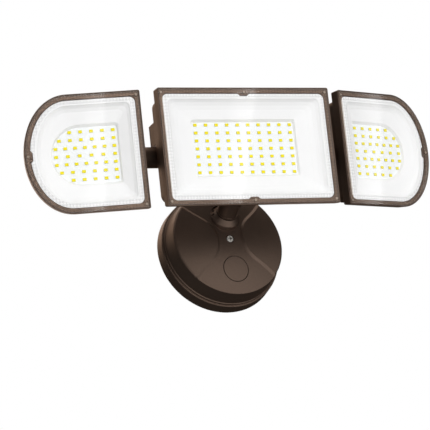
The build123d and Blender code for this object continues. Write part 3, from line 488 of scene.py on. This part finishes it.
# Background: plain white to the camera, and to the floodlight a dim room with four soft panels.
# Each lens mirrors a dark card over its chips, and a bright strip with one sharp edge and one that fades.
# Cards and strips are placed by what the camera sees on the lens, in millimetres from the lens datum.
def mirrored_way(head, across, up):
    """Direction that a place on a head's lens mirrors to the camera: the view ray, turned back there."""
    axes = axes_of[head]
    place = lens_datum(head) + (across * mm, up * mm, 0.0)
    place[2] = corners_along(head + "_lens", axes)[:, 2].max()
    ray = place @ axes - np.array(camera.location)
    ray /= np.linalg.norm(ray)
    return ray - 2 * (ray @ axes[2]) * axes[2]


def mirrored_line(head, first, second):
    """Unit normal of the plane through the directions that two places on a lens mirror."""
    normal = np.cross(mirrored_way(head, *first), mirrored_way(head, *second))
    return normal / np.linalg.norm(normal)


def facing(tree, toward, way):
    """How far the room's direction points along a way: their dot product."""
    return node(tree, "VectorMath", {0: toward, 1: tuple(way)}, operation="DOT_PRODUCT").outputs["Value"]


world = bpy.data.worlds.new("studio")
world.use_nodes = True
tree = world.node_tree
tree.nodes.clear()
toward = node(tree, "TexCoord").outputs["Generated"]

# Panels: where each lies, the cosines at which it starts and is full, and its strength
room_level = 0.05
panels = {
    "front": ((0.30, -0.90, -0.30), 0.65, 0.92, 0.88),
    "overhead": ((0.10, -0.10, 0.99), 0.60, 0.98, 1.1),
    "high behind": ((-0.15, 0.82, 0.55), 0.90, 0.985, 0.9),
    "low left": ((-0.65, -0.40, -0.65), 0.85, 0.97, 0.8),
}
level = room_level
for way, faint, full, strength in panels.values():
    lean = facing(tree, toward, way)
    glow = ramp(tree, lean, faint, full, 0.0, strength, interpolation_type="SMOOTHSTEP")
    level = maths(tree, "ADD", level, glow)

# Cards: their middles on the lenses, the cosines of their soft edge, and the share of light they leave
card_middles = {"left": (-30.0, 2.0), "centre": (-4.0, -2.0), "right": (20.0, -1.0)}
card_edge = 0.9962
card_core = 0.9986
card_share = 0.25
for head, (across, up) in card_middles.items():
    lean = facing(tree, toward, mirrored_way(head, across, up))
    level = maths(tree, "MULTIPLY", level, ramp(tree, lean, card_edge, card_core, 1.0, card_share))

# Strips: where the sharp edge crosses each lens near the top and the bottom, and the heights past which
# a strip is brighter, over the rim. Blurs and widths are angles in radians.
strip_edges = {"left": (-6.7, -16.4), "centre": (13.1, -15.0), "right": (31.3, 15.0)}
edge_height = 55.0
rim_top = 52.35
rim_bottom = -53.5
rim_span = 30.0
edge_blur = 0.0002
fade_width = 0.011
end_reach = 0.0045
end_blur = 0.0005
strip_level = 2.0
rim_level = 4.5
for head, (top, bottom) in strip_edges.items():
    edge_line = mirrored_line(head, (bottom, -edge_height), (top, edge_height))
    top_line = mirrored_line(head, (-rim_span, rim_top), (rim_span, rim_top))
    bottom_line = mirrored_line(head, (rim_span, rim_bottom), (-rim_span, rim_bottom))
    side, upper, lower = (facing(tree, toward, line) for line in (edge_line, top_line, bottom_line))
    beyond = maths(tree, "MAXIMUM", upper, lower)
    sharp = ramp(tree, side, -edge_blur, edge_blur)
    fading = ramp(tree, side, fade_width, 0.0)
    brightness = ramp(tree, beyond, -edge_blur, edge_blur, strip_level, rim_level)
    ending = ramp(tree, beyond, end_reach, end_reach - end_blur)
    across = maths(tree, "MULTIPLY", fading, sharp)
    along = maths(tree, "MULTIPLY", brightness, ending)
    level = maths(tree, "ADD", level, maths(tree, "MULTIPLY", across, along))

white = (1.0, 1.0, 1.0, 1.0)
room = node(tree, "Background", {"Color": white, "Strength": level})
backdrop = node(tree, "Background", {"Color": white, "Strength": 1.0})
seen = node(tree, "LightPath").outputs["Is Camera Ray"]
sky = node(tree, "MixShader", {0: seen, 1: room.outputs[0], 2: backdrop.outputs[0]})
node(tree, "OutputWorld", {"Surface": sky.outputs[0]})
scene.world = world


# Floor: a pale matt board far below the floodlight, with a faint mottle.
# It is kept out of reflections and of scattered light, so it lends the floodlight no colour.
board_dark = (0.78, 0.78, 0.78, 1.0)
board_light = (0.83, 0.83, 0.83, 1.0)
floor_size = 2.4
floor_level = -1.35
reach = floor_size / 2
outline = ((-reach, -reach), (reach, -reach), (reach, reach), (-reach, reach))
floor_mesh = bpy.data.meshes.new("floor")
floor_mesh.from_pydata([(x, y, floor_level) for x, y in outline], [], [(0, 1, 2, 3)])
floor = bpy.data.objects.new("floor", floor_mesh)
scene.collection.objects.link(floor)
floor_board, tree, place = new_material("floor_board")
board = mottled(tree, place, board_dark, board_light, scale=6.0, detail=4.0)
show_surface(tree, {"Base Color": board.outputs["Colour"], "Roughness": 0.8})
floor_mesh.materials.append(floor_board)
floor.visible_glossy = False
floor.visible_diffuse = False
